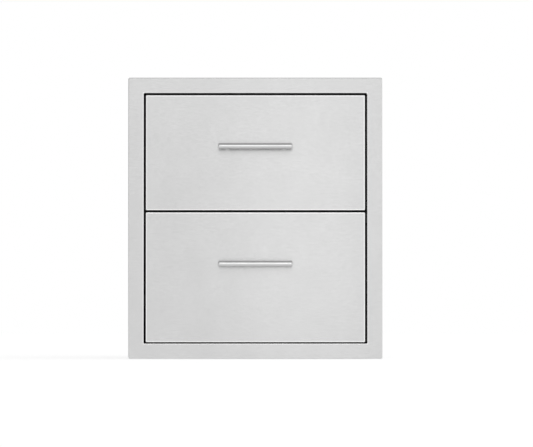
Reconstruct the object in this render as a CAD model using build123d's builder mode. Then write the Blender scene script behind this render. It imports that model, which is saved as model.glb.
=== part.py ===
"""Built-in double drawer unit for an outdoor kitchen, in folded stainless sheet.

A face frame covers the edge of the cut-out, and a sheet cabinet behind it carries two drawers.
Each drawer has a double-walled flush front, a bar handle and a folded box, and it runs on a pair of
full-extension ball slides. Millimetres, +Z up, front towards -Y. The origin is the centre of the
plane where the frame's outer edge meets the wall.
"""

import os

from build123d import *

os.makedirs("parts", exist_ok=True)

SIDES = {"left": -1, "right": 1}

# Face frame
overall_width = 432.0
overall_height = 478.0
flange_width = 26.5
flange_return = 8.0
frame_sheet = 1.2
frame_bend = 1.5
frame_corner = 2.8
opening_corner = 2.0

# Drawer fronts
upper_front_height = 196.0
front_gap = 3.2
sill_gap = 1.8
front_depth = 20.0
front_sheet = 0.9
front_bend = 1.3
front_corner = 1.7
liner_sheet = 0.8
liner_flange = 10.0
liner_bend = 1.2
liner_fit = 0.1

# Rubber bumpers between the fronts and the centre rail
bumper_radius = 5.0
bumper_thickness = 2.8
bumper_edge = 1.0
bumper_inset = 30.0
closing_gap = 0.2

# Handles
handle_drop = 87.9
handle_length = 125.0
handle_radius = 5.0
handle_end_round = 2.0
handle_pitch = 96.0
post_radius = 4.0
post_length = 22.0
post_seat_depth = 4.0
seat_fit = 0.05
screw_radius = 2.0
screw_hole_radius = 2.3
screw_bite = 12.0
screw_head_radius = 4.0
screw_head_height = 2.6
screw_head_edge = 1.0

# Cabinet sheets
cabinet_sheet = 1.0
cabinet_bend = 1.5
cabinet_flange = 15.0
rear_clearance = 16.0
fixing_radius = 2.6
fixing_pitch = 300.0

# Centre rail and its rubber seal
rail_height = 40.0
rail_flange = 22.0
rail_sheet = 1.2
rail_bend = 1.6
seal_clearance = 0.4
seal_bumper_gap = 0.6
seal_end_gap = 0.5
seal_round = 1.0

# Drawer boxes
box_sheet = 0.9
box_bend = 1.0
box_rim_width = 3.2
box_rim_drop = 9.0
box_joint = 14.0
box_clearance = 8.0
upper_rim_clearance = 32.0
lower_floor_clearance = 28.0
box_rear_setback = 6.0
end_wall_drop = 1.0

# Telescopic ball slides
slide_length = 450.0
slide_width = 12.7
slide_height = 45.7
slide_setback = 1.0
slide_rise = 58.0
slide_sheet = 1.2
slide_bend = 1.4
middle_sheet = 1.0
middle_bend = 1.0
cage_sheet = 0.6
cage_bend = 0.6
cage_length = 190.0
cage_lip = 0.8
pocket_gap = 0.2
ball_radius = 2.0
balls_per_row = 4
ball_pitch = 52.0
race_gap = 0.25
run_gap = 0.4
ball_shelf = 1.4
outer_curl = 65.0
middle_curl = 55.0
inner_curl = 35.0
stop_length = 8.0
slot_length = 16.0
slot_width = 7.0
slot_inset = 84.0

# Rivets that hold the slides
rivet_radius = 1.6
rivet_head_radius = 3.4
rivet_head_height = 0.8
rivet_tail_radius = 2.6
rivet_tail_height = 1.2
rivet_inset = 36.0
rivet_fit = 0.05

# Release levers in the drawer members of the slides
lever_setback = 25.0
lever_thickness = 2.0
lever_hub_radius = 4.4
lever_tip_radius = 2.4
lever_tail = 34.0
lever_nose = 18.0
lever_gap = 0.3
pivot_radius = 2.0
pivot_fit = 0.05
pivot_head_radius = 3.2
pivot_head_height = 0.8

# Places that follow from the sizes above
opening_width = overall_width - 2 * flange_width
opening_height = overall_height - 2 * flange_width
face_y = -flange_return
front_back_y = face_y + front_depth
neck_end_y = front_back_y + bumper_thickness + closing_gap
inner_half_width = opening_width / 2 + frame_sheet
inner_half_height = opening_height / 2 + frame_sheet

front_width = opening_width - 2 * front_gap
upper_front_top = opening_height / 2 - front_gap
upper_front_bottom = upper_front_top - upper_front_height
lower_front_top = upper_front_bottom - front_gap
lower_front_bottom = -opening_height / 2 + sill_gap

rail_z = (upper_front_bottom + lower_front_top) / 2
rail_top = rail_z + rail_height / 2
rail_bottom = rail_z - rail_height / 2

slide_front_y = neck_end_y + slide_setback
slide_back_y = slide_front_y + slide_length
cabinet_depth = slide_back_y + stop_length + rear_clearance

box_half_width = inner_half_width - slide_width
box_back_y = slide_back_y - box_rear_setback

# Each drawer: front edges, box edges, slide and handle heights, and the height of its bumpers
DRAWERS = {
    "upper": {
        "front_top": upper_front_top,
        "front_bottom": upper_front_bottom,
        "box_top": inner_half_height - upper_rim_clearance,
        "box_bottom": rail_top + box_clearance,
        "bumper_z": (upper_front_bottom + rail_top) / 2,
    },
    "lower": {
        "front_top": lower_front_top,
        "front_bottom": lower_front_bottom,
        "box_top": rail_bottom - box_clearance,
        "box_bottom": -inner_half_height + lower_floor_clearance,
        "bumper_z": (lower_front_top + rail_bottom) / 2,
    },
}
for drawer in DRAWERS.values():
    drawer["slide_z"] = drawer["box_bottom"] + slide_rise
    drawer["handle_z"] = drawer["front_top"] - handle_drop

# Section of a slide: u runs from the cabinet wall to the drawer, w up from the slide's middle line
outer_flange_w = slide_height / 2 - slide_sheet / 2
outer_ball_w = slide_height / 2 - slide_sheet - race_gap - ball_radius
middle_flange_w = outer_ball_w - ball_radius - race_gap - middle_sheet / 2
inner_ball_w = middle_flange_w - middle_sheet / 2 - race_gap - ball_radius
inner_flange_w = inner_ball_w - ball_radius - race_gap - slide_sheet / 2
outer_cage_u = slide_sheet + rivet_head_height + run_gap + cage_sheet / 2
middle_web_u = outer_cage_u + cage_sheet / 2 + run_gap + middle_sheet / 2
outer_ball_u = middle_web_u + ball_shelf
inner_cage_u = middle_web_u + middle_sheet / 2 + run_gap + cage_sheet / 2
inner_ball_u = slide_width - slide_sheet - run_gap - middle_sheet - race_gap - ball_radius
inner_web_u = slide_width - slide_sheet / 2
rivet_offsets = (rivet_inset, slide_length - rivet_inset)
slot_offsets = (slot_inset, slide_length - slot_inset)
cage_start = (slide_length - cage_length) / 2
slide_travel = slide_length
lever_position = slide_travel / 2 + lever_setback


def write_piece(piece, name):
    """Label a finished piece and write its file."""
    piece.part.label = name
    export_step(piece.part, f"parts/{name}.step")


def slide_plane(side, slide_z, offset=0.0):
    """Plane across a slide at this distance from its front end: local x is u, local z runs back."""
    origin = (side * inner_half_width, slide_front_y + offset, slide_z)
    return Plane(origin=origin, x_dir=(-side, 0, 0), z_dir=(0, 1, 0))


def web_plane(side, slide_z, u, offset=0.0):
    """Plane parallel to a slide's web at depth u: local x runs back, local z towards the drawer."""
    origin = (side * (inner_half_width - u), slide_front_y + offset, slide_z)
    return Plane(origin=origin, x_dir=(0, 1, 0), z_dir=(-side, 0, 0))


# Face frame: the border is a shallow pan, and its inner edge turns back into a neck
with BuildPart() as face_frame:
    with BuildSketch(Plane.XZ):
        RectangleRounded(overall_width, overall_height, frame_corner)
    extrude(amount=flange_return)
    fillet(face_frame.faces().sort_by(Axis.Y)[0].edges(), frame_bend)
    offset(amount=-frame_sheet, openings=face_frame.faces().sort_by(Axis.Y)[-1])
    with BuildSketch(Plane.XZ.offset(-face_y)):
        RectangleRounded(
            opening_width + 2 * frame_sheet,
            opening_height + 2 * frame_sheet,
            opening_corner + frame_sheet,
        )
    extrude(amount=face_y - neck_end_y)
    with BuildSketch(Plane.XZ.offset(-face_y)):
        RectangleRounded(opening_width, opening_height, opening_corner)
    extrude(amount=face_y - neck_end_y, mode=Mode.SUBTRACT)
    fillet(face_frame.faces().sort_by(Axis.Y)[0].inner_wires()[0].edges(), frame_bend)
    with BuildSketch(Plane.YZ):
        with Locations((neck_end_y / 2, fixing_pitch / 2), (neck_end_y / 2, -fixing_pitch / 2)):
            Circle(fixing_radius)
    extrude(amount=overall_width, both=True, mode=Mode.SUBTRACT)
write_piece(face_frame, "face_frame")

# Cabinet sides: flat against the neck, with a rear edge folded in to carry the back
panel_relief = cabinet_sheet + 2 * cabinet_bend
side_wall_x = inner_half_width + cabinet_sheet / 2
side_fold_y = cabinet_depth - 1.5 * cabinet_sheet
for side_name, side in SIDES.items():
    with BuildPart() as side_panel:
        with BuildSketch(Plane.XY.offset(panel_relief - inner_half_height)):
            with BuildLine():
                FilletPolyline(
                    (side * side_wall_x, 0),
                    (side * side_wall_x, side_fold_y),
                    (side * (side_wall_x - cabinet_flange), side_fold_y),
                    radius=cabinet_bend,
                )
            trace(line_width=cabinet_sheet)
        extrude(amount=2 * (inner_half_height - panel_relief))
        with BuildSketch(Plane.YZ):
            with Locations((neck_end_y / 2, fixing_pitch / 2), (neck_end_y / 2, -fixing_pitch / 2)):
                Circle(fixing_radius)
            for drawer in DRAWERS.values():
                with Locations([(slide_front_y + y, drawer["slide_z"]) for y in rivet_offsets]):
                    Circle(rivet_radius + rivet_fit)
        extrude(amount=side * overall_width, mode=Mode.SUBTRACT)
    write_piece(side_panel, f"{side_name}_side_panel")

# Cabinet top and bottom: channels whose edges lap the outside of the side panels
lap_x = inner_half_width + 1.5 * cabinet_sheet
for panel_name, up in {"bottom_panel": -1, "top_panel": 1}.items():
    skin_z = up * (inner_half_height + cabinet_sheet / 2)
    lap_z = up * (inner_half_height + cabinet_sheet / 2 - cabinet_flange)
    with BuildPart() as cover_panel:
        with BuildSketch(Plane.XZ):
            with BuildLine():
                FilletPolyline(
                    (-lap_x, lap_z), (-lap_x, skin_z), (lap_x, skin_z), (lap_x, lap_z), radius=cabinet_bend
                )
            trace(line_width=cabinet_sheet)
        extrude(amount=-cabinet_depth)
    write_piece(cover_panel, panel_name)

# Cabinet back: a sheet with its top and bottom edges folded forwards, under the top and bottom panels
back_lip_z = inner_half_height - cabinet_sheet / 2
back_wall_y = cabinet_depth - cabinet_sheet / 2
with BuildPart() as back_panel:
    with BuildSketch(Plane.YZ):
        with BuildLine():
            FilletPolyline(
                (back_wall_y - cabinet_flange, back_lip_z),
                (back_wall_y, back_lip_z),
                (back_wall_y, -back_lip_z),
                (back_wall_y - cabinet_flange, -back_lip_z),
                radius=cabinet_bend,
            )
        trace(line_width=cabinet_sheet)
    extrude(amount=inner_half_width + cabinet_sheet - cabinet_bend, both=True)
write_piece(back_panel, "back_panel")

# Centre rail: a channel across the cabinet behind the gap between the fronts
rail_wall_y = neck_end_y + rail_sheet / 2
with BuildPart() as centre_rail:
    with BuildSketch(Plane.YZ):
        with BuildLine():
            FilletPolyline(
                (rail_wall_y + rail_flange, rail_top - rail_sheet / 2),
                (rail_wall_y, rail_top - rail_sheet / 2),
                (rail_wall_y, rail_bottom + rail_sheet / 2),
                (rail_wall_y + rail_flange, rail_bottom + rail_sheet / 2),
                radius=rail_bend,
            )
        trace(line_width=rail_sheet)
    extrude(amount=inner_half_width, both=True)
write_piece(centre_rail, "centre_rail")

# Seal: a rubber strip along the rail, between the bumpers, that closes the gap between the fronts
seal_bottom = DRAWERS["lower"]["bumper_z"] + bumper_radius + seal_bumper_gap
seal_top = DRAWERS["upper"]["bumper_z"] - bumper_radius - seal_bumper_gap
seal_front_y = front_back_y + seal_clearance
with BuildPart() as rail_seal:
    with BuildSketch(Plane.YZ):
        with Locations(((seal_front_y + neck_end_y) / 2, (seal_bottom + seal_top) / 2)):
            Rectangle(neck_end_y - seal_front_y, seal_top - seal_bottom)
    extrude(amount=opening_width / 2 - seal_end_gap, both=True)
    fillet(rail_seal.faces().sort_by(Axis.Y)[0].edges().filter_by(Axis.X), seal_round)
write_piece(rail_seal, "rail_seal")


def slide_member(side, slide_z, length, web_u, flange_w, ball_u, ball_w, sheet, bend, curl, holes, slots):
    """Rolled slide member: a slotted channel whose two edges curl round the ball rows."""
    race_radius = abs(flange_w - ball_w)
    curl_start = 90 if flange_w > ball_w else 270
    with BuildPart() as member:
        with BuildSketch(slide_plane(side, slide_z)):
            with BuildLine():
                CenterArc((ball_u, ball_w), race_radius, curl_start, -curl)
                FilletPolyline(
                    (ball_u, flange_w),
                    (web_u, flange_w),
                    (web_u, -flange_w),
                    (ball_u, -flange_w),
                    radius=bend,
                )
                CenterArc((ball_u, -ball_w), race_radius, -curl_start, curl)
            trace(line_width=sheet)
        extrude(amount=length)
        with BuildSketch(web_plane(side, slide_z, web_u - sheet / 2)):
            with Locations([(offset, 0) for offset in slots]):
                SlotOverall(slot_length, slot_width)
            for offset in holes:
                with Locations((offset, 0)):
                    Circle(rivet_radius + rivet_fit)
        extrude(amount=sheet, mode=Mode.SUBTRACT)
    return member


# Slide members: the outer one on the cabinet, the middle one between, the inner one on the drawer.
# The middle one's slots lie over the rivets when the drawer is shut.
for drawer_name, drawer in DRAWERS.items():
    for side_name, side in SIDES.items():
        outer_member = slide_member(
            side,
            drawer["slide_z"],
            slide_length + stop_length,
            slide_sheet / 2,
            outer_flange_w,
            outer_ball_u,
            outer_ball_w,
            slide_sheet,
            slide_bend,
            outer_curl,
            rivet_offsets,
            slot_offsets,
        )
        write_piece(outer_member, f"{drawer_name}_{side_name}_slide_outer")
        middle_member = slide_member(
            side,
            drawer["slide_z"],
            slide_length,
            middle_web_u,
            middle_flange_w,
            inner_ball_u,
            inner_ball_w,
            middle_sheet,
            middle_bend,
            middle_curl,
            (),
            rivet_offsets,
        )
        write_piece(middle_member, f"{drawer_name}_{side_name}_slide_middle")
        inner_member = slide_member(
            side,
            drawer["slide_z"],
            slide_length,
            inner_web_u,
            inner_flange_w,
            inner_ball_u,
            inner_ball_w,
            slide_sheet,
            slide_bend,
            inner_curl,
            rivet_offsets,
            slot_offsets,
        )
        write_piece(inner_member, f"{drawer_name}_{side_name}_slide_inner")

# Rubber stops in the rear ends of the outer members
with BuildPart() as slide_stops:
    for drawer in DRAWERS.values():
        for side in SIDES.values():
            with BuildSketch(slide_plane(side, drawer["slide_z"], slide_length + closing_gap)):
                with Locations(((slide_sheet + inner_ball_u) / 2, 0)):
                    Rectangle(inner_ball_u - slide_sheet, 2 * outer_ball_w)
            extrude(amount=stop_length - closing_gap)
write_piece(slide_stops, "slide_stops")

# Rivets, as steps along u: head, shank through the two sheets, and tail
cabinet_rivet_steps = (
    (slide_sheet, slide_sheet + rivet_head_height, rivet_head_radius),
    (-cabinet_sheet, slide_sheet, rivet_radius),
    (-cabinet_sheet - rivet_tail_height, -cabinet_sheet, rivet_tail_radius),
)
drawer_rivet_steps = (
    (slide_width - slide_sheet - rivet_head_height, slide_width - slide_sheet, rivet_head_radius),
    (slide_width - slide_sheet, slide_width + box_sheet, rivet_radius),
    (slide_width + box_sheet, slide_width + box_sheet + rivet_tail_height, rivet_tail_radius),
)
with BuildPart() as cabinet_rivets:
    for drawer in DRAWERS.values():
        for side in SIDES.values():
            for start_u, end_u, radius in cabinet_rivet_steps:
                with BuildSketch(web_plane(side, drawer["slide_z"], start_u)):
                    with Locations([(offset, 0) for offset in rivet_offsets]):
                        Circle(radius)
                extrude(amount=end_u - start_u)
write_piece(cabinet_rivets, "cabinet_rivets")

# Ball cages and balls: a folded strip each side keeps the two rows of balls apart.
# A ball is a cube with its edges and corners cut off, so that all its corners lie on the sphere.
ball_half_side = ball_radius / (1 + 2 * (2**0.5 - 1) ** 2) ** 0.5
ball_cut = ball_half_side * (2 - 2**0.5)
pocket_side = 2 * (ball_radius + pocket_gap)
cage_rows = {
    "outer": (outer_cage_u, outer_ball_u, outer_ball_w),
    "inner": (inner_cage_u, inner_ball_u, inner_ball_w),
}
first_ball = (slide_length - (balls_per_row - 1) * ball_pitch) / 2
ball_offsets = [first_ball + count * ball_pitch for count in range(balls_per_row)]
for drawer_name, drawer in DRAWERS.items():
    for cage_name, (cage_u, ball_u, ball_w) in cage_rows.items():
        edge_u = ball_u + ball_radius + pocket_gap + cage_lip
        ball_places = [(ball_u, row * ball_w, offset) for row in (-1, 1) for offset in ball_offsets]
        with BuildPart() as cages:
            for side in SIDES.values():
                with BuildSketch(slide_plane(side, drawer["slide_z"], cage_start)):
                    with BuildLine():
                        FilletPolyline(
                            (edge_u, ball_w),
                            (cage_u, ball_w),
                            (cage_u, -ball_w),
                            (edge_u, -ball_w),
                            radius=cage_bend,
                        )
                    trace(line_width=cage_sheet)
                extrude(amount=cage_length)
                with Locations(slide_plane(side, drawer["slide_z"])):
                    with Locations(ball_places):
                        Box(pocket_side, 2 * cage_sheet, pocket_side, mode=Mode.SUBTRACT)
        write_piece(cages, f"{drawer_name}_{cage_name}_cages")
        with BuildPart() as balls:
            for side in SIDES.values():
                with Locations(slide_plane(side, drawer["slide_z"])):
                    with Locations(ball_places):
                        Box(2 * ball_half_side, 2 * ball_half_side, 2 * ball_half_side)
            chamfer(balls.edges(), ball_cut)
        write_piece(balls, f"{drawer_name}_{cage_name}_balls")

# Release levers: a hub on a pivot pin, a tail to press at the front and a nose that hooks the middle member
lever_u = slide_width - slide_sheet - lever_gap - lever_thickness
pivot_head_u = lever_u - lever_gap - pivot_head_height
for drawer_name, drawer in DRAWERS.items():
    for side_name, side in SIDES.items():
        with BuildPart() as release_lever:
            with BuildSketch(web_plane(side, drawer["slide_z"], lever_u, lever_position)):
                Circle(lever_hub_radius)
                with Locations((-lever_tail, 0), (lever_nose, 0)):
                    Circle(lever_tip_radius)
                make_hull()
                Circle(pivot_radius + pivot_fit, mode=Mode.SUBTRACT)
            extrude(amount=lever_thickness)
        write_piece(release_lever, f"{drawer_name}_{side_name}_release_lever")
    with BuildPart() as lever_pivots:
        for side in SIDES.values():
            with BuildSketch(web_plane(side, drawer["slide_z"], pivot_head_u, lever_position)):
                Circle(pivot_head_radius)
            extrude(amount=pivot_head_height)
            with BuildSketch(web_plane(side, drawer["slide_z"], lever_u - lever_gap, lever_position)):
                Circle(pivot_radius)
            extrude(amount=lever_thickness + 2 * lever_gap)
    write_piece(lever_pivots, f"{drawer_name}_lever_pivots")

# Drawers: the front, its handle and the box behind it
liner_width = front_width - 2 * (front_sheet + liner_fit)
end_wall_half = box_half_width - box_sheet - (box_bend - box_sheet / 2)
bumper_x = front_width / 2 - bumper_inset
bar_y = face_y - post_length - handle_radius
post_end_y = face_y - post_length - post_seat_depth
for drawer_name, drawer in DRAWERS.items():
    front_height = drawer["front_top"] - drawer["front_bottom"]
    front_mid_z = (drawer["front_top"] + drawer["front_bottom"]) / 2
    handle_z = drawer["handle_z"]
    handle_places = [(-handle_pitch / 2, handle_z), (handle_pitch / 2, handle_z)]

    # Outer skin of the front: a pan with its edges turned back
    with BuildPart() as front_skin:
        with BuildSketch(Plane.XZ.offset(-front_back_y)):
            with Locations((0, front_mid_z)):
                RectangleRounded(front_width, front_height, front_corner)
        extrude(amount=front_depth)
        fillet(front_skin.faces().sort_by(Axis.Y)[0].edges(), front_bend)
        offset(amount=-front_sheet, openings=front_skin.faces().sort_by(Axis.Y)[-1])
        with BuildSketch(Plane.XZ.offset(-face_y)):
            with Locations(handle_places):
                Circle(screw_hole_radius)
        extrude(amount=-front_sheet, mode=Mode.SUBTRACT)
    write_piece(front_skin, f"{drawer_name}_front_skin")

    # Liner: a shallower pan pushed into the skin from behind, edges forwards
    with BuildPart() as front_liner:
        with BuildSketch(Plane.XZ.offset(-front_back_y)):
            with Locations((0, front_mid_z)):
                RectangleRounded(liner_width, front_height - 2 * (front_sheet + liner_fit), front_corner)
        extrude(amount=liner_flange)
        fillet(front_liner.faces().sort_by(Axis.Y)[-1].edges(), liner_bend)
        offset(amount=-liner_sheet, openings=front_liner.faces().sort_by(Axis.Y)[0])
        with BuildSketch(Plane.XZ.offset(-front_back_y)):
            with Locations(handle_places):
                Circle(screw_hole_radius)
        extrude(amount=liner_sheet, mode=Mode.SUBTRACT)
    write_piece(front_liner, f"{drawer_name}_front_liner")

    # Box body: floor and both sides from one sheet, top edges rolled inwards
    wall_x = box_half_width - box_sheet / 2
    rim_x = wall_x - box_rim_width
    rim_z = drawer["box_top"] - box_sheet / 2
    floor_z = drawer["box_bottom"] + box_sheet / 2
    with BuildPart() as box_body:
        with BuildSketch(Plane.XZ.offset(-front_back_y)):
            with BuildLine():
                FilletPolyline(
                    (-rim_x, rim_z - box_rim_drop),
                    (-rim_x, rim_z),
                    (-wall_x, rim_z),
                    (-wall_x, floor_z),
                    (wall_x, floor_z),
                    (wall_x, rim_z),
                    (rim_x, rim_z),
                    (rim_x, rim_z - box_rim_drop),
                    radius=box_bend,
                )
            trace(line_width=box_sheet)
        extrude(amount=front_back_y - box_back_y)
        with BuildSketch(Plane.YZ):
            with Locations([(slide_front_y + offset, drawer["slide_z"]) for offset in rivet_offsets]):
                Circle(rivet_radius + rivet_fit)
        extrude(amount=inner_half_width, both=True, mode=Mode.SUBTRACT)
    write_piece(box_body, f"{drawer_name}_box_body")

    # Box end walls: foot on the floor, top edge rolled into the box, just below the side rims
    end_rim_z = rim_z - box_rim_drop - end_wall_drop
    foot_z = floor_z + box_sheet
    end_walls = {
        "box_front": (front_back_y + box_sheet / 2, 1),
        "box_back": (box_back_y - box_sheet / 2, -1),
    }
    for wall_name, (wall_y, inward) in end_walls.items():
        with BuildPart() as end_wall:
            with BuildSketch(Plane.YZ):
                with BuildLine():
                    FilletPolyline(
                        (wall_y + inward * box_joint, foot_z),
                        (wall_y, foot_z),
                        (wall_y, end_rim_z),
                        (wall_y + inward * box_rim_width, end_rim_z),
                        (wall_y + inward * box_rim_width, end_rim_z - box_rim_drop),
                        radius=box_bend,
                    )
                trace(line_width=box_sheet)
            extrude(amount=end_wall_half, both=True)
            if wall_name == "box_front":
                with BuildSketch(Plane.XZ.offset(-front_back_y)):
                    with Locations(handle_places):
                        Circle(screw_hole_radius)
                extrude(amount=-box_sheet, mode=Mode.SUBTRACT)
        write_piece(end_wall, f"{drawer_name}_{wall_name}")

    # Handle bar: solid round bar with two flat-bottomed seats for the posts
    with BuildPart() as handle_bar:
        with BuildSketch(Plane.YZ.offset(-handle_length / 2)):
            with Locations((bar_y, handle_z)):
                Circle(handle_radius)
        extrude(amount=handle_length)
        fillet(handle_bar.edges().filter_by(GeomType.CIRCLE), handle_end_round)
        with BuildSketch(Plane.XZ.offset(-post_end_y)):
            with Locations(handle_places):
                Circle(post_radius + seat_fit)
        extrude(amount=post_end_y - face_y, mode=Mode.SUBTRACT)
    write_piece(handle_bar, f"{drawer_name}_handle_bar")

    # Handle posts: turned studs with a tapped bore for the screw
    with BuildPart() as handle_posts:
        with BuildSketch(Plane.XZ.offset(-face_y)):
            with Locations(handle_places):
                Circle(post_radius)
        extrude(amount=face_y - post_end_y)
        with BuildSketch(Plane.XZ.offset(-face_y)):
            with Locations(handle_places):
                Circle(screw_radius + seat_fit)
        extrude(amount=screw_bite + screw_radius, mode=Mode.SUBTRACT)
    write_piece(handle_posts, f"{drawer_name}_handle_posts")

    # Handle screws: from inside the box through box front, liner and skin into the posts
    with BuildPart() as handle_screws:
        with BuildSketch(Plane.XZ.offset(-front_back_y - box_sheet)):
            with Locations(handle_places):
                Circle(screw_head_radius)
        extrude(amount=-screw_head_height)
        chamfer(handle_screws.faces().group_by(Axis.Y)[-1].edges(), screw_head_edge)
        with BuildSketch(Plane.XZ.offset(-front_back_y - box_sheet)):
            with Locations(handle_places):
                Circle(screw_radius)
        extrude(amount=front_back_y + box_sheet - face_y + screw_bite)
    write_piece(handle_screws, f"{drawer_name}_handle_screws")

    # Bumpers: rubber buttons on the back of the liner, in front of the centre rail
    with BuildPart() as bumpers:
        with BuildSketch(Plane.XZ.offset(-front_back_y)):
            with Locations((-bumper_x, drawer["bumper_z"]), (bumper_x, drawer["bumper_z"])):
                Circle(bumper_radius)
        extrude(amount=-bumper_thickness)
        chamfer(bumpers.faces().group_by(Axis.Y)[-1].edges(), bumper_edge)
    write_piece(bumpers, f"{drawer_name}_bumpers")

    # Rivets through the drawer members of the slides and the sides of the box
    with BuildPart() as drawer_rivets:
        for side in SIDES.values():
            for start_u, end_u, radius in drawer_rivet_steps:
                with BuildSketch(web_plane(side, drawer["slide_z"], start_u)):
                    with Locations([(offset, 0) for offset in rivet_offsets]):
                        Circle(radius)
                extrude(amount=end_u - start_u)
    write_piece(drawer_rivets, f"{drawer_name}_drawer_rivets")
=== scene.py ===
"""Double drawer unit in brushed stainless sheet: the finish of its pieces, and the studio round it.

Lengths are in metres, in the frame of the CAD model.
"""

import math

import bmesh
import bpy
from mathutils import Matrix, Vector


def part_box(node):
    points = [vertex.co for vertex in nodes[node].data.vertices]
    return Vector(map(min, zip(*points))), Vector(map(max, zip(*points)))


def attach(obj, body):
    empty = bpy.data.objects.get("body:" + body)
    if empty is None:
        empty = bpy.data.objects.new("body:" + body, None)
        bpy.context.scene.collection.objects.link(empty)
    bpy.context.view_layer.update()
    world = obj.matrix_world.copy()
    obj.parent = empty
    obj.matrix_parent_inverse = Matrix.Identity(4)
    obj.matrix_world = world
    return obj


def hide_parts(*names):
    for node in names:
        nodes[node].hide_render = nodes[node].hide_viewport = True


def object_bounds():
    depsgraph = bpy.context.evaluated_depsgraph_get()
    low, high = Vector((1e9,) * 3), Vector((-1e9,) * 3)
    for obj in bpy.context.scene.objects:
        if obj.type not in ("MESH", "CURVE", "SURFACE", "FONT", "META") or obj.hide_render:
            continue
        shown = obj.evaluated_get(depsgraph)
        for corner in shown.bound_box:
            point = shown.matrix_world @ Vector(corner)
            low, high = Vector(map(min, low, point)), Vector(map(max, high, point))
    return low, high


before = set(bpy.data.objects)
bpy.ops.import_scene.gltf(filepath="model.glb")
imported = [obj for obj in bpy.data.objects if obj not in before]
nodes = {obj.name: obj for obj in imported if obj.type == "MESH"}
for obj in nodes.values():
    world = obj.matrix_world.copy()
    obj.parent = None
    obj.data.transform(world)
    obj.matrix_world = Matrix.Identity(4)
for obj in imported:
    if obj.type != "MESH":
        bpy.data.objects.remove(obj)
cad_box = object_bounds()

# Face frame: a border of 1.2 mm stainless sheet that covers the edge of the cut-out.
# Its outer edge folds back to the wall, and its inner edge turns in as a neck that takes the fixing screws.
# The sheet is brushed from side to side; the folds, and a line beside the opening, carry a painted highlight
# brighter than the flats.


def wire(tree, node, inputs):
    """Give each named input of a node a constant or a link."""
    for name, value in inputs.items():
        if isinstance(value, bpy.types.NodeSocket):
            tree.links.new(value, node.inputs[name])
        else:
            node.inputs[name].default_value = value


def place(tree, kind, inputs=None, **settings):
    """Add a shader node with its settings and inputs."""
    node = tree.nodes.new("ShaderNode" + kind)
    for name, value in settings.items():
        setattr(node, name, value)
    wire(tree, node, inputs or {})
    return node


def combine(tree, operation, first, second=0.0):
    """Result of a sum on one or two values."""
    return place(tree, "Math", {0: first, 1: second}, operation=operation).outputs[0]


def combine_vectors(tree, operation, first, second=(0.0, 0.0, 0.0), result="Vector"):
    """Result of a sum on one or two vectors."""
    return place(tree, "VectorMath", {0: first, 1: second}, operation=operation).outputs[result]


def parts_of(tree, vector):
    """X, Y and Z of a vector."""
    return place(tree, "SeparateXYZ", {0: vector}).outputs


def spread(tree, value, low, high, start=0.0, end=1.0):
    """Map a value from the range start to end onto low to high, and hold it there."""
    limits = {"Value": value, "From Min": start, "From Max": end, "To Min": low, "To Max": high}
    return place(tree, "MapRange", limits).outputs[0]


def mix_tones(tree, factor, first, second):
    """Colour between two tones."""
    return place(tree, "Mix", {0: factor, 6: first, 7: second}, data_type="RGBA").outputs[2]


def grey(level, warmth=0.0):
    """Grey tone with a touch of warmth, or of blue where warmth is negative."""
    return (level + warmth, level, level - warmth, 1.0)


def texture_space(tree, kind):
    """Place or direction on the surface: Object is the unit's own frame, Normal is where it faces."""
    return place(tree, "TexCoord").outputs[kind]


def noise(tree, point, scale, detail=2.0):
    """Soft random value at a point."""
    return place(tree, "TexNoise", {"Vector": point, "Scale": scale, "Detail": detail}).outputs[0]


def start_group(name, inputs, outputs):
    """Start a node group with named sockets; give back its tree, its entry and its exit."""
    tree = bpy.data.node_groups.new(name, "ShaderNodeTree")
    for socket_name, (kind, default) in inputs.items():
        socket = tree.interface.new_socket(socket_name, in_out="INPUT", socket_type="NodeSocket" + kind)
        socket.default_value = default
    for socket_name in outputs:
        tree.interface.new_socket(socket_name, in_out="OUTPUT", socket_type="NodeSocketFloat")
    return tree, tree.nodes.new("NodeGroupInput").outputs, tree.nodes.new("NodeGroupOutput")


# Brushed grain: hairline scratches drawn out along one axis, broader streaks, and slow clouding
brushed_grain, entry, leave = start_group(
    "brushed_grain",
    {"Stretch": ("Vector", (25.0, 1800.0, 1800.0)), "Cloud Scale": ("Float", 7.0)},
    ("Hairlines", "Streaks", "Clouds"),
)
hairline_detail = 3.0
streak_scale = 0.23
scratch_contrast = (0.25, 0.75)
cloud_contrast = (0.3, 0.7)
point = texture_space(brushed_grain, "Object")
drawn_out = combine_vectors(brushed_grain, "MULTIPLY", point, entry["Stretch"])
hairlines = noise(brushed_grain, drawn_out, scale=1.0, detail=hairline_detail)
streaks = noise(brushed_grain, drawn_out, streak_scale)
clouds = noise(brushed_grain, point, entry["Cloud Scale"])
wire(
    brushed_grain,
    leave,
    {
        "Hairlines": spread(brushed_grain, hairlines, 0.0, 1.0, *scratch_contrast),
        "Streaks": spread(brushed_grain, streaks, 0.0, 1.0, *scratch_contrast),
        "Clouds": spread(brushed_grain, clouds, 0.0, 1.0, *cloud_contrast),
    },
)


def brush(tree, stretch, cloud_scale):
    """Hairlines, streaks and clouds of the brushed grain on a material."""
    values = {"Stretch": stretch, "Cloud Scale": cloud_scale}
    return place(tree, "Group", values, node_tree=brushed_grain).outputs
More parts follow.
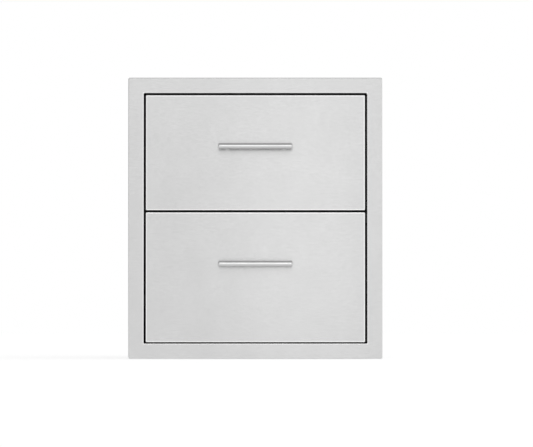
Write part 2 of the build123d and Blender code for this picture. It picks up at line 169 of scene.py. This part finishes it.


# Fold wear and highlight: on sheet whose flats lie square to the axes, a fold is where no axis lines up with
# the normal
# Materials paint the folds brighter there, a painted highlight broken up by random wear
fold_wear_and_highlight, entry, leave = start_group("fold_wear_and_highlight", {"Wear Scale": ("Float", 90.0)}, ("Fold",))
fold_range = (0.8, 0.985)
least_wear = 0.7
square = parts_of(fold_wear_and_highlight, combine_vectors(fold_wear_and_highlight, "ABSOLUTE", texture_space(fold_wear_and_highlight, "Normal")))
nearer_of_two = combine(fold_wear_and_highlight, "MAXIMUM", square["X"], square["Y"])
nearest = combine(fold_wear_and_highlight, "MAXIMUM", nearer_of_two, square["Z"])
turned = spread(fold_wear_and_highlight, nearest, 1.0, 0.0, *fold_range)
rubbed = noise(fold_wear_and_highlight, texture_space(fold_wear_and_highlight, "Object"), entry["Wear Scale"])
wear = spread(fold_wear_and_highlight, rubbed, least_wear, 1.0)
wire(fold_wear_and_highlight, leave, {"Fold": combine(fold_wear_and_highlight, "MULTIPLY", turned, wear)})


def fold_mask(tree):
    """Where the painted highlight of the folds lies on a material."""
    return place(tree, "Group", node_tree=fold_wear_and_highlight).outputs["Fold"]


# Edge highlight: a painted highlight, a bright line on the face of a sheet beside the outline of a rectangle
edge_highlight, entry, leave = start_group(
    "edge_highlight",
    {
        "Low": ("Vector", (-0.1, 0.0, -0.1)),
        "High": ("Vector", (0.1, 0.0, 0.1)),
        "Face": ("Float", 0.0),
        "Width": ("Float", 0.0025),
    },
    ("Edge",),
)
outline_fade = (0.75, 1.0)
face_fade = (0.5, 1.0)
point = texture_space(edge_highlight, "Object")
beyond = []
for nearer, farther in ((entry["Low"], point), (point, entry["High"])):
    reach = parts_of(edge_highlight, combine_vectors(edge_highlight, "SUBTRACT", nearer, farther))
    beyond.append(combine(edge_highlight, "MAXIMUM", reach["X"], reach["Z"]))
from_outline = combine(edge_highlight, "ABSOLUTE", combine(edge_highlight, "MAXIMUM", *beyond))
widths_beside = combine(edge_highlight, "DIVIDE", from_outline, entry["Width"])
beside = spread(edge_highlight, widths_beside, 1.0, 0.0, *outline_fade)
depth = combine(edge_highlight, "SUBTRACT", parts_of(edge_highlight, point)["Y"], entry["Face"])
widths_deep = combine(edge_highlight, "DIVIDE", depth, entry["Width"])
on_face = spread(edge_highlight, widths_deep, 1.0, 0.0, *face_fade)
wire(edge_highlight, leave, {"Edge": combine(edge_highlight, "MULTIPLY", beside, on_face)})


def start_material(name):
    """New material; give back its tree and its shader too."""
    material = bpy.data.materials.new(name)
    material.use_nodes = True
    return material, material.node_tree, material.node_tree.nodes["Principled BSDF"]


def raised(tree, height, strength, distance):
    """Normal of a surface that a height raises by up to a distance."""
    return place(tree, "Bump", {"Height": height, "Strength": strength, "Distance": distance}).outputs[0]


def dress(material, *names):
    """Give these CAD nodes a material."""
    for name in names:
        for slot in nodes[name].material_slots:
            slot.material = material


front_stretch = (400.0, 1700.0, 1700.0)
front_cloud_scale = 18.0
scratch_range = (0.3, 1.7)
scratch_tones = (grey(0.615), grey(0.685))
front_cloud_tone = grey(0.6)
front_cloud_share = 0.4
# Painted highlight: tone of the bright folds and edge lines, and the width of those lines
painted_highlight_tone = grey(0.93)
highlight_width = 0.0024
front_roughness = (0.2, 0.26)


def front_material(name, low, high, highlight_share):
    """Brushed sheet with its grain from side to side, with a painted highlight at the folds and along one
    outline.
    """
    material, tree, shader = start_material(name)
    grain = brush(tree, front_stretch, front_cloud_scale)
    outline = {"Low": low, "High": high, "Face": low.y, "Width": highlight_width}
    edge = place(tree, "Group", outline, node_tree=edge_highlight).outputs["Edge"]
    bright = combine(tree, "MAXIMUM", fold_mask(tree), spread(tree, edge, 0.0, highlight_share))
    scratches = combine(tree, "ADD", grain["Streaks"], grain["Hairlines"])
    brushed_tone = mix_tones(tree, spread(tree, scratches, 0.0, 1.0, *scratch_range), *scratch_tones)
    clouded = spread(tree, grain["Clouds"], 0.0, front_cloud_share)
    clouded_tone = mix_tones(tree, clouded, brushed_tone, front_cloud_tone)
    wire(
        tree,
        shader,
        {
            "Base Color": mix_tones(tree, bright, clouded_tone, painted_highlight_tone),
            "Metallic": 1.0,
            "Roughness": spread(tree, grain["Hairlines"], *front_roughness),
            "Anisotropic": 0.3,
            "Anisotropic Rotation": 0.25,
            "Tangent": place(tree, "Tangent", direction_type="RADIAL", axis="Z").outputs[0],
            "Normal": raised(tree, grain["Hairlines"], strength=0.05, distance=0.0002),
        },
    )
    return material


flange_width = 0.0265
# Painted highlight: share of the bright line beside the frame's opening
frame_highlight = 0.4
flange = Vector((flange_width, 0.0, flange_width))
low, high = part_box("face_frame")
dress(front_material("frame_steel", low + flange, high - flange, frame_highlight), "face_frame")

# Front skins: the two drawer fronts, each a pan of 0.9 mm stainless sheet with its edges folded back.
# They are cut from the same brushed sheet as the frame, with the grain running from side to side.
# Each hangs on its drawer by the handle screws and by the liner pushed into it from behind.
DRAWERS = ("upper", "lower")
# Painted highlight: share of the bright line beside each front's outline
front_highlight = 0.9
for drawer in DRAWERS:
    low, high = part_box(f"{drawer}_front_skin")
    dress(front_material(f"{drawer}_front_steel", low, high, front_highlight), f"{drawer}_front_skin")

# Handle bars and posts: solid stainless round bar, polished along its length, on turned studs with a duller
# finish.
# The back of the bar and the posts' tone are painted dark, a painted shade under and behind the bar.
# Each post sits in a flat-bottomed seat in the bar and is pulled to the front by a screw from inside.
handle_cloud_scale = 30.0
handle_cloud_share = 0.25
# Painted shade: a dark tone on faces that turn to the back of the unit
painted_back_shade = grey(0.25)
painted_back_shade_range = (0.05, 0.4)


def facing_back(tree):
    """1 where a surface faces the back of the unit, -1 where it faces the front."""
    return parts_of(tree, texture_space(tree, "Normal"))["Y"]


def handle_material(name, stretch, tones, roughness):
    """Satin steel between two tones, marked along its length or round it, clouded, and with painted shade
    behind.
    """
    dark, light, clouded = tones
    material, tree, shader = start_material(name)
    grain = brush(tree, stretch, handle_cloud_scale)
    streaked_tone = mix_tones(tree, grain["Streaks"], dark, light)
    clouding = spread(tree, grain["Clouds"], 0.0, handle_cloud_share)
    polished_tone = mix_tones(tree, clouding, streaked_tone, clouded)
    behind = spread(tree, facing_back(tree), 0.0, 1.0, *painted_back_shade_range)
    wire(
        tree,
        shader,
        {
            "Base Color": mix_tones(tree, behind, polished_tone, painted_back_shade),
            "Metallic": 1.0,
            "Roughness": spread(tree, grain["Hairlines"], *roughness),
            "Normal": raised(tree, grain["Hairlines"], strength=0.05, distance=0.0001),
        },
    )
    return material


bar_steel = handle_material(
    "satin_bar_steel",
    stretch=(40.0, 2600.0, 2600.0),
    tones=(grey(0.67), grey(0.73), grey(0.62)),
    roughness=(0.09, 0.13),
)
# The posts' dark tones are painted shade, where the bar hides them
shaded_post_steel = handle_material(
    "turned_post_steel",
    stretch=(30.0, 2600.0, 30.0),
    tones=(grey(0.42), grey(0.5), grey(0.4)),
    roughness=(0.25, 0.35),
)
for drawer in DRAWERS:
    dress(bar_steel, f"{drawer}_handle_bar")
    dress(shaded_post_steel, f"{drawer}_handle_posts")

# Handle screws: M4 pan-head machine screws of plain stainless steel, with a cross recess.
# They go in from inside the drawer, through box, liner and skin, into the tapped bores of the posts.
# The head is cold-formed, so its crown is a shallow dome and the recess tapers to its floor.


def even_material(name, grain_scale, cloud_scale, tones, roughness, relief, constants):
    """Finish that runs no way in particular: clouded between two tones, with a fine even grain.

    Relief is the strength and the depth of that grain; constants are further values of the shader.
    """
    material, tree, shader = start_material(name)
    grain = brush(tree, (grain_scale,) * 3, cloud_scale)
    wire(
        tree,
        shader,
        {
            "Base Color": mix_tones(tree, grain["Clouds"], *tones),
            "Roughness": spread(tree, grain["Hairlines"], *roughness),
            "Normal": raised(tree, grain["Hairlines"], *relief),
            **constants,
        },
    )
    return material


def turn(builder, profile, seat, sides):
    """Spin a profile of radius and height points into a closed body; seat carries its axis to the part."""
    turns = [2 * math.pi * step / sides for step in range(sides)]
    rings = []
    for radius, height in profile:
        circle = [Vector((radius * math.cos(angle), radius * math.sin(angle), height)) for angle in turns]
        rings.append([builder.verts.new(seat @ spot) for spot in circle])
    for lower, upper in zip(rings, rings[1:]):
        for step in range(sides):
            builder.faces.new((lower[step - 1], lower[step], upper[step], upper[step - 1]))
    builder.faces.new(rings[0])
    builder.faces.new(rings[-1])


def finish_piece(builder, name, material, crease=30.0):
    """Turn a mesh builder into a linked object with smooth faces and sharp creases."""
    bmesh.ops.recalc_face_normals(builder, faces=builder.faces)
    mesh = bpy.data.meshes.new(name)
    builder.to_mesh(mesh)
    builder.free()
    mesh.polygons.foreach_set("use_smooth", [True] * len(mesh.polygons))
    mesh.set_sharp_from_angle(angle=math.radians(crease))
    mesh.materials.append(material)
    piece = bpy.data.objects.new(name, mesh)
    bpy.context.scene.collection.objects.link(piece)
    return piece


def stand_in(piece, body, node):
    """Let a piece ride on a body and stand for a CAD node, which it hides."""
    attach(piece, body)
    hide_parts(node)


def axis_seat(spot, direction):
    """Matrix that carries a turned body to a spot, with its axis along a direction."""
    return Matrix.Translation(spot) @ direction.to_track_quat("Z", "Y").to_matrix().to_4x4()


fastener_steel = even_material(
    "fastener_steel",
    grain_scale=900.0,
    cloud_scale=240.0,
    tones=(grey(0.5), grey(0.64, 0.004)),
    roughness=(0.26, 0.42),
    relief=(0.2, 0.00005),
    constants={"Metallic": 1.0},
)
screw_head_radius = 0.004
screw_head_height = 0.0026
screw_rim_height = 0.0011
screw_shank_radius = 0.002
screw_tip_radius = 0.0014
screw_tip_length = 0.0006
recess_depth = 0.0016
recess_overrun = 0.0004
recess_top = (0.0022, 0.0005)
recess_floor = (0.0013, 0.0003)
square_corners = ((-1, -1), (1, -1), (1, 1), (-1, 1))
fastener_sides = 36
dome_steps = 5


def recess_arm(centre, upright):
    """Tapered wedge that cuts one arm of the cross recess, as a loose object."""
    builder = bmesh.new()
    rings = []
    for (half_length, half_width), depth in ((recess_top, -recess_overrun), (recess_floor, recess_depth)):
        corners = [(along * half_length, across * half_width) for along, across in square_corners]
        if upright:
            corners = [(across, along) for along, across in corners]
        rings.append([builder.verts.new(centre + Vector((x, -depth, z))) for x, z in corners])
    top, floor = rings
    for step in range(len(top)):
        builder.faces.new((top[step - 1], top[step], floor[step], floor[step - 1]))
    builder.faces.new(top)
    builder.faces.new(floor)
    return finish_piece(builder, "recess_arm", fastener_steel)


def cut_away(piece, cutters):
    """Take the cutters' shapes out of a piece and delete them."""
    for cutter in cutters:
        cut = piece.modifiers.new("recess", "BOOLEAN")
        cut.object = cutter
        cut.operation = "DIFFERENCE"
        cut.solver = "EXACT"
    shaped = piece.evaluated_get(bpy.context.evaluated_depsgraph_get())
    mesh = bpy.data.meshes.new_from_object(shaped)
    piece.modifiers.clear()
    piece.data = mesh
    for cutter in cutters:
        bpy.data.objects.remove(cutter)


dome_height = screw_head_height - screw_rim_height
crown = []
for step in range(dome_steps, 0, -1):
    angle = math.pi / 2 * step / dome_steps
    crown.append((screw_head_radius * math.sin(angle), screw_rim_height + dome_height * math.cos(angle)))
for drawer in DRAWERS:
    low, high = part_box(f"{drawer}_handle_screws")
    middle_z = (low.z + high.z) / 2
    head_seat = high.y - screw_head_height
    tip = low.y - head_seat
    profile = [
        (screw_tip_radius, tip),
        (screw_shank_radius, tip + screw_tip_length),
        (screw_shank_radius, 0.0),
        (screw_head_radius, 0.0),
        *crown,
    ]
    builder = bmesh.new()
    cutters = []
    for x in (low.x + screw_head_radius, high.x - screw_head_radius):
        seat = axis_seat(Vector((x, head_seat, middle_z)), Vector((0, 1, 0)))
        turn(builder, profile, seat, fastener_sides)
        head_top = Vector((x, high.y, middle_z))
        cutters += [recess_arm(head_top, upright) for upright in (False, True)]
    screws = finish_piece(builder, f"{drawer}_cross_head_screws", fastener_steel)
    cut_away(screws, cutters)
    stand_in(screws, f"{drawer}_drawer", f"{drawer}_handle_screws")

# Liners and boxes: the inner pan of each front and the box behind it, folded from thin mill-finish sheet.
# The box body is one sheet for the floor and both sides, with rolled rims.
# Its two ends stand in it on folded feet and are spot-welded.

# Spot welds: a row of round dimples with a faint heat ring, both sides of an origin
spot_welds, entry, leave = start_group(
    "spot_welds",
    {
        "Origin": ("Vector", (0.0, 0.0, 0.0)),
        "Along": ("Vector", (0.0, 1.0, 0.0)),
        "Across": ("Vector", (0.0, 0.0, 1.0)),
        "Row": ("Float", 0.2),
        "Pitch": ("Float", 0.06),
    },
    ("Weld", "Heat"),
)
weld_radius = 0.0026
weld_edge = 0.0006
heat_radius = 0.0065
middle_of_step = 0.5
offset = combine_vectors(spot_welds, "SUBTRACT", texture_space(spot_welds, "Object"), entry["Origin"])
along = combine_vectors(spot_welds, "DOT_PRODUCT", offset, entry["Along"], result="Value")
across = combine_vectors(spot_welds, "DOT_PRODUCT", offset, entry["Across"], result="Value")
step_place = combine(spot_welds, "FRACT", combine(spot_welds, "DIVIDE", along, entry["Pitch"]))
steps_off = combine(spot_welds, "SUBTRACT", step_place, middle_of_step)
from_weld = combine(spot_welds, "MULTIPLY", steps_off, entry["Pitch"])
from_row = combine(spot_welds, "SUBTRACT", combine(spot_welds, "ABSOLUTE", across), entry["Row"])
squares = [combine(spot_welds, "MULTIPLY", length, length) for length in (from_weld, from_row)]
distance = combine(spot_welds, "SQRT", combine(spot_welds, "ADD", *squares))
wire(
    spot_welds,
    leave,
    {
        "Weld": spread(spot_welds, distance, 1.0, 0.0, weld_radius - weld_edge, weld_radius),
        "Heat": spread(spot_welds, distance, 1.0, 0.0, weld_radius, heat_radius),
    },
)

sheet_cloud_scale = 9.0
sheet_cloud_share = 0.4
rolling_relief = 0.12
heat_tone = (0.5, 0.46, 0.41, 1.0)
heat_share = 0.45
weld_tone = grey(0.44)
weld_share = 0.6
# Painted highlight: the folds of the mill-finish sheet are coloured lighter
fold_highlight_tone = grey(0.72)
fold_highlight_share = 0.6


def sheet_material(name, stretch, tones, roughness, welds):
    """Mill-finish sheet: rolling marks along one axis, slow clouding, a painted highlight on the folds and
    rows of spot welds.
    """
    dark, light = tones
    material, tree, shader = start_material(name)
    grain = brush(tree, stretch, sheet_cloud_scale)
    tone = mix_tones(tree, grain["Streaks"], dark, light)
    tone = mix_tones(tree, spread(tree, grain["Clouds"], 0.0, sheet_cloud_share), tone, dark)
    relief = spread(tree, grain["Hairlines"], 0.0, rolling_relief)
    for row in welds:
        weld = place(tree, "Group", row, node_tree=spot_welds).outputs
        tone = mix_tones(tree, spread(tree, weld["Heat"], 0.0, heat_share), tone, heat_tone)
        tone = mix_tones(tree, spread(tree, weld["Weld"], 0.0, weld_share), tone, weld_tone)
        relief = combine(tree, "SUBTRACT", relief, weld["Weld"])
    wire(
        tree,
        shader,
        {
            "Base Color": mix_tones(tree, spread(tree, fold_mask(tree), 0.0, fold_highlight_share), tone, fold_highlight_tone),
            "Metallic": 1.0,
            "Roughness": spread(tree, grain["Hairlines"], *roughness),
            "Normal": raised(tree, relief, strength=0.5, distance=0.0001),
        },
    )
    return material


joint_inset = 0.007
x_axis = (1.0, 0.0, 0.0)
y_axis = (0.0, 1.0, 0.0)
z_axis = (0.0, 0.0, 1.0)
for drawer in DRAWERS:
    low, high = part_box(f"{drawer}_box_body")
    middle_y = (low.y + high.y) / 2
    end_welds = {
        "Origin": (0.0, middle_y, 0.0),
        "Along": x_axis,
        "Across": y_axis,
        "Row": high.y - middle_y - joint_inset,
    }
    box_steel = sheet_material(
        f"{drawer}_box_sheet",
        stretch=(1500.0, 16.0, 1500.0),
        tones=(grey(0.61), grey(0.67)),
        roughness=(0.36, 0.48),
        welds=[end_welds],
    )
    for piece in ("box_body", "box_front", "box_back", "front_liner"):
        dress(box_steel, f"{drawer}_{piece}")

# Bumpers, seal and stops: black rubber, moulded or extruded.
# The bumpers are stuck to the back of each liner, the seal is glued along the centre rail,
# and the stops are pushed into the rear ends of the fixed slide members.
rubber = even_material(
    "black_rubber",
    grain_scale=2400.0,
    cloud_scale=60.0,
    tones=(grey(0.012), grey(0.026, 0.001)),
    roughness=(0.6, 0.8),
    relief=(0.3, 0.0001),
    constants={"Specular IOR Level": 0.35},
)
dress(rubber, "rail_seal", "slide_stops", *[f"{drawer}_bumpers" for drawer in DRAWERS])

# Cabinet panels: five sheets of 1 mm mill-finish steel, folded at their edges and spot-welded into a box.
# The top and bottom lap the outside of the sides, and the back closes the rear on the folded flanges.
lap_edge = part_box("top_panel")[0].z
back_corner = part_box("back_panel")[1]
cabinet_steel = sheet_material(
    "cabinet_sheet",
    stretch=(1300.0, 14.0, 1300.0),
    tones=(grey(0.55), grey(0.6)),
    roughness=(0.36, 0.5),
    welds=[
        {"Along": y_axis, "Across": z_axis, "Row": lap_edge + joint_inset},
        {"Along": x_axis, "Across": y_axis, "Row": back_corner.y - joint_inset},
        {"Along": z_axis, "Across": x_axis, "Row": back_corner.x - joint_inset},
    ],
)
dress(cabinet_steel, "left_side_panel", "right_side_panel", "top_panel", "bottom_panel", "back_panel")

# Centre rail: a channel of 1.2 mm sheet across the cabinet behind the gap between the fronts.
# It stiffens the frame and carries the seal; it is powder-coated black, a painted shade that keeps the gap
# dark.
# The coat is painted a little paler over the folds, a painted highlight.
# Painted shade: the near-black coat tones; painted highlight: the paler tone over the folds
coat_tones = (grey(0.014), grey(0.022))
coat_roughness = (0.5, 0.65)
coat_fold_highlight_tone = grey(0.06)
coat_fold_highlight_share = 0.3
shaded_rail_coat, tree, shader = start_material("black_rail_painted_shade")
grain = brush(tree, stretch=(1100.0, 1100.0, 1100.0), cloud_scale=40.0)
coat_tone = mix_tones(tree, grain["Clouds"], *coat_tones)
fold_highlighted = spread(tree, fold_mask(tree), 0.0, coat_fold_highlight_share)
wire(
    tree,
    shader,
    {
        "Base Color": mix_tones(tree, fold_highlighted, coat_tone, coat_fold_highlight_tone),
        "Roughness": spread(tree, grain["Hairlines"], *coat_roughness),
        "Normal": raised(tree, grain["Hairlines"], strength=0.35, distance=0.00015),
    },
)
dress(shaded_rail_coat, "centre_rail")

# Slide members and ball cages: cold-rolled steel strip, bright zinc plated, with faint plating haze.
# The strip is plated before it is cut, so the sheared ends are bare and dull, and their dark tone is painted
# shade.
# The fixed member is riveted to the cabinet, the drawer member to the box, and the middle one runs between.
zinc_tones = (grey(0.5, -0.012), grey(0.6, -0.008))
zinc_roughness = (0.24, 0.38)
haze_tone = grey(0.44, 0.006)
haze_share = 0.5
# Painted shade: the dark tone of the sheared ends
sheared_end_shade_tone = grey(0.16, 0.006)
bare_roughness = 0.6
sheared_range = (0.9, 0.95)
zinc_steel, tree, shader = start_material("zinc_slide_steel")
grain = brush(tree, stretch=(1600.0, 30.0, 1600.0), cloud_scale=45.0)
plated_tone = mix_tones(tree, grain["Streaks"], *zinc_tones)
hazed_tone = mix_tones(tree, spread(tree, grain["Clouds"], 0.0, haze_share), plated_tone, haze_tone)
sheared = spread(tree, combine(tree, "ABSOLUTE", facing_back(tree)), 0.0, 1.0, *sheared_range)
plated_roughness = spread(tree, grain["Clouds"], *zinc_roughness)
sheared_roughness = combine(tree, "MULTIPLY", sheared, bare_roughness)
wire(
    tree,
    shader,
    {
        "Base Color": mix_tones(tree, sheared, hazed_tone, sheared_end_shade_tone),
        "Metallic": 1.0,
        "Roughness": combine(tree, "MAXIMUM", plated_roughness, sheared_roughness),
        "Normal": raised(tree, grain["Hairlines"], strength=0.2, distance=0.0001),
    },
)
SIDES = ("left", "right")
for drawer in DRAWERS:
    dress(zinc_steel, f"{drawer}_outer_cages", f"{drawer}_inner_cages")
    for side in SIDES:
        for member in ("outer", "middle", "inner"):
            dress(zinc_steel, f"{drawer}_{side}_slide_{member}")

# Rivets: blind rivets of plain steel with a low domed head, set from inside the slide.
# The mandrel breaks off inside the head and leaves a small pit.
# Its own head swells the tail behind the sheets and holds them together.
rivet_head_radius = 0.0034
rivet_head_height = 0.0008
rivet_shank_radius = 0.0016
rivet_tail_radius = 0.0026
rivet_tail_height = 0.0012
tail_shoulder_radius = 0.00221
tail_end_radius = 0.002392
mandrel_radius = 0.0009
mandrel_pit = 0.0004
pit_floor_radius = 0.00054
pit_lip_radius = 0.00099
mandrel_boss_radius = 0.00135
tail_round = rivet_tail_height / 3
mandrel_boss_height = tail_round / 3
single_row_height = 3 * rivet_head_radius
# The dome of the head, in shares of its radius and height
head_dome_shares = ((0.55, 0.08), (0.85, 0.4), (1.0, 0.8), (1.0, 1.0))


def rivet_profile(length):
    """Radius and height points of a set rivet, from the broken mandrel in its head to the end of its tail."""
    tail_start = length - rivet_tail_height
    return [
        (pit_floor_radius, mandrel_pit),
        (mandrel_radius, mandrel_pit),
        (pit_lip_radius, 0.0),
        *[(rivet_head_radius * out, rivet_head_height * down) for out, down in head_dome_shares],
        (rivet_shank_radius, rivet_head_height),
        (rivet_shank_radius, tail_start),
        (tail_shoulder_radius, tail_start),
        (rivet_tail_radius, tail_start + tail_round),
        (tail_end_radius, length - tail_round),
        (mandrel_boss_radius, length - mandrel_boss_height),
        (mandrel_radius, length),
    ]


def set_rivets(name, node, body, grip, heads_outside):
    """Blind rivets through two sheets, at both ends of each slide in a CAD node, left and right."""
    low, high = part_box(node)
    length = rivet_head_height + grip + rivet_tail_height
    rows = [low.z + rivet_head_radius, high.z - rivet_head_radius]
    if high.z - low.z < single_row_height:
        rows = [(low.z + high.z) / 2]
    builder = bmesh.new()
    for outward, edge in ((-1, low.x), (1, high.x)):
        start = edge if heads_outside else edge - outward * length
        axis = Vector((-outward if heads_outside else outward, 0, 0))
        for y in (low.y + rivet_head_radius, high.y - rivet_head_radius):
            for z in rows:
                turn(builder, rivet_profile(length), axis_seat(Vector((start, y, z)), axis), fastener_sides)
    rivets = finish_piece(builder, name, fastener_steel)
    stand_in(rivets, body, node)


slide_sheet = 0.0012
cabinet_sheet = 0.001
box_sheet = 0.0009
set_rivets(
    "cabinet_blind_rivets",
    "cabinet_rivets",
    "cabinet",
    grip=slide_sheet + cabinet_sheet,
    heads_outside=False,
)
for drawer in DRAWERS:
    set_rivets(
        f"{drawer}_blind_rivets",
        f"{drawer}_drawer_rivets",
        f"{drawer}_drawer",
        grip=slide_sheet + box_sheet,
        heads_outside=True,
    )

# Balls: hardened chrome-steel bearing balls, 4 mm across, ground and lapped to a near mirror.
# They sit in the pockets of the cages, in an upper and a lower row on each side of a slide's middle member.
# The CAD solid of a ball is a cube cut back until its corners lie on the ball, so its sides stand nearer in.
ball_radius = 0.002
ball_half_side = ball_radius / math.sqrt(1 + 2 * (math.sqrt(2) - 1) ** 2)
balls_per_row = 4
ball_tones = (grey(0.6), grey(0.7, -0.006))
ball_roughness = (0.06, 0.16)
ball_steel, tree, shader = start_material("ball_steel")
grain = brush(tree, stretch=(500.0, 500.0, 500.0), cloud_scale=400.0)
wire(
    tree,
    shader,
    {
        "Base Color": mix_tones(tree, grain["Clouds"], *ball_tones),
        "Metallic": 1.0,
        "Roughness": spread(tree, grain["Streaks"], *ball_roughness),
    },
)
inset = Vector((ball_half_side,) * 3)
for drawer in DRAWERS:
    for row in ("outer", "inner"):
        low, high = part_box(f"{drawer}_{row}_balls")
        first = low + inset
        last = high - inset
        builder = bmesh.new()
        for x in (first.x, last.x):
            for z in (first.z, last.z):
                for step in range(balls_per_row):
                    y = first.y + (last.y - first.y) * step / (balls_per_row - 1)
                    centre = Matrix.Translation((x, y, z))
                    bmesh.ops.create_icosphere(builder, subdivisions=3, radius=ball_radius, matrix=centre)
        balls = finish_piece(builder, f"{drawer}_{row}_bearing_balls", ball_steel)
        stand_in(balls, f"{drawer}_{row}_ball_cages", f"{drawer}_{row}_balls")

# Release levers and their pivots: moulded black levers that unhook the drawer from its slides.
# Each turns on a steel pin headed over in the drawer member.
lever_plastic = even_material(
    "lever_plastic",
    grain_scale=1800.0,
    cloud_scale=80.0,
    tones=(grey(0.02), grey(0.034, -0.001)),
    roughness=(0.42, 0.58),
    relief=(0.25, 0.0001),
    constants={},
)
for drawer in DRAWERS:
    dress(lever_plastic, *[f"{drawer}_{side}_release_lever" for side in SIDES])
    dress(fastener_steel, f"{drawer}_lever_pivots")

# Studio: a pale satin floor just under the frame, in a white surround that darkens overhead and to the left.
# The floor glows white for the camera and for metal that looks along it, and less for metal that looks down.
# A strip lamp in front and a gridded softbox higher up add the highlights.
floor_gap = 0.0005
floor_half = 8.0
floor_tone = grey(0.8)
white_glow = 0.645
steep_share = 0.6
glancing_range = (0.1, 0.8)


def seen_directly(tree, mirrored):
    """1 for what the camera sees, straight or through glass, and a share of that for what metal mirrors."""
    rays = place(tree, "LightPath").outputs
    seen = combine(tree, "MAXIMUM", rays["Is Camera Ray"], rays["Is Transmission Ray"])
    return combine(tree, "MAXIMUM", seen, combine(tree, "MULTIPLY", rays["Is Glossy Ray"], mirrored))


floor_paint, tree, shader = start_material("studio_floor")
tree.nodes.remove(shader)
glancing = place(tree, "LayerWeight", {"Blend": 0.5}).outputs["Facing"]
mirrored = spread(tree, glancing, steep_share, 1.0, *glancing_range)
glow_strength = spread(tree, seen_directly(tree, mirrored), 0.0, white_glow)
glow = place(tree, "Emission", {"Strength": glow_strength}).outputs[0]
matt = place(tree, "BsdfDiffuse", {"Color": floor_tone}).outputs[0]
surface = place(tree, "AddShader", {0: matt, 1: glow}).outputs[0]
wire(tree, tree.nodes["Material Output"], {"Surface": surface})
floor_z = cad_box[0].z - floor_gap
builder = bmesh.new()
corners = [(across * floor_half, along * floor_half, floor_z) for across, along in square_corners]
builder.faces.new([builder.verts.new(corner) for corner in corners])
floor = finish_piece(builder, "studio_floor", floor_paint)

ambient = 0.78
white = grey(1.0)
overhead_tone = grey(0.52)
overhead_range = (0.3, 0.75)
left_tone = grey(0.36)
left_range = (-0.8, -0.3)
surround = bpy.data.worlds.new("studio_surround")
surround.use_nodes = True
bpy.context.scene.world = surround
tree = surround.node_tree
direction = parts_of(tree, texture_space(tree, "Generated"))
overhead = spread(tree, direction["Z"], 0.0, 1.0, *overhead_range)
leftward = spread(tree, direction["X"], 1.0, 0.0, *left_range)
overhead_shade = mix_tones(tree, overhead, white, overhead_tone)
background = {
    "Color": mix_tones(tree, leftward, overhead_shade, left_tone),
    "Strength": spread(tree, seen_directly(tree, 1.0), ambient, 1.0),
}
wire(tree, tree.nodes["Background"], background)


def softbox(name, location, target, size, radiance, spread_degrees):
    """Area lamp of a given radiance that faces a point; a grid in front of it can narrow its beam."""
    lamp = bpy.data.lights.new(name, "AREA")
    lamp.shape = "RECTANGLE"
    lamp.size, lamp.size_y = size
    lamp.energy = radiance * math.pi * lamp.size * lamp.size_y
    lamp.spread = math.radians(spread_degrees)
    holder = bpy.data.objects.new(name, lamp)
    holder.location = location
    holder.rotation_euler = (Vector(target) - Vector(location)).to_track_quat("-Z", "Y").to_euler()
    bpy.context.scene.collection.objects.link(holder)


softbox(
    "front_strip",
    location=(0.1, -1.3, -0.2),
    target=(0.0, 0.0, -0.2),
    size=(0.26, 1.0),
    radiance=0.19,
    spread_degrees=180.0,
)
softbox(
    "gridded_softbox",
    location=(0.0, -1.3, 0.54),
    target=(0.0, 0.0, -0.15),
    size=(0.8, 0.16),
    radiance=0.15,
    spread_degrees=40.0,
)

# Camera: in front of the unit, turned to its middle, and far enough off for the photograph's flat view.
# It stands a little below that middle, just high enough that the gap at the sill shows the bottom panel.
# The shifts are how far, in pixels, the unit's middle lies off the middle of the picture.
image_width = 533
object_shift_x = 11.1
object_shift_y = -5.35
metres_per_pixel = 0.0016975
camera_distance = 6.0
camera_height = -0.165
face_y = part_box("face_frame")[0].y
camera_data = bpy.data.cameras.new("camera")
camera_data.sensor_width = 36.0
camera_data.lens = camera_data.sensor_width * camera_distance / (image_width * metres_per_pixel)
camera_data.shift_x = object_shift_x / image_width
camera_data.shift_y = object_shift_y / image_width
camera_data.clip_end = 100.0
camera = bpy.data.objects.new("camera", camera_data)
camera.location = (0.0, face_y - camera_distance, camera_height)
camera.rotation_euler = (math.pi / 2 - math.atan2(camera_height, camera_distance), 0.0, 0.0)
bpy.context.scene.collection.objects.link(camera)
bpy.context.scene.camera = camera
bpy.context.scene.view_settings.view_transform = "Standard"
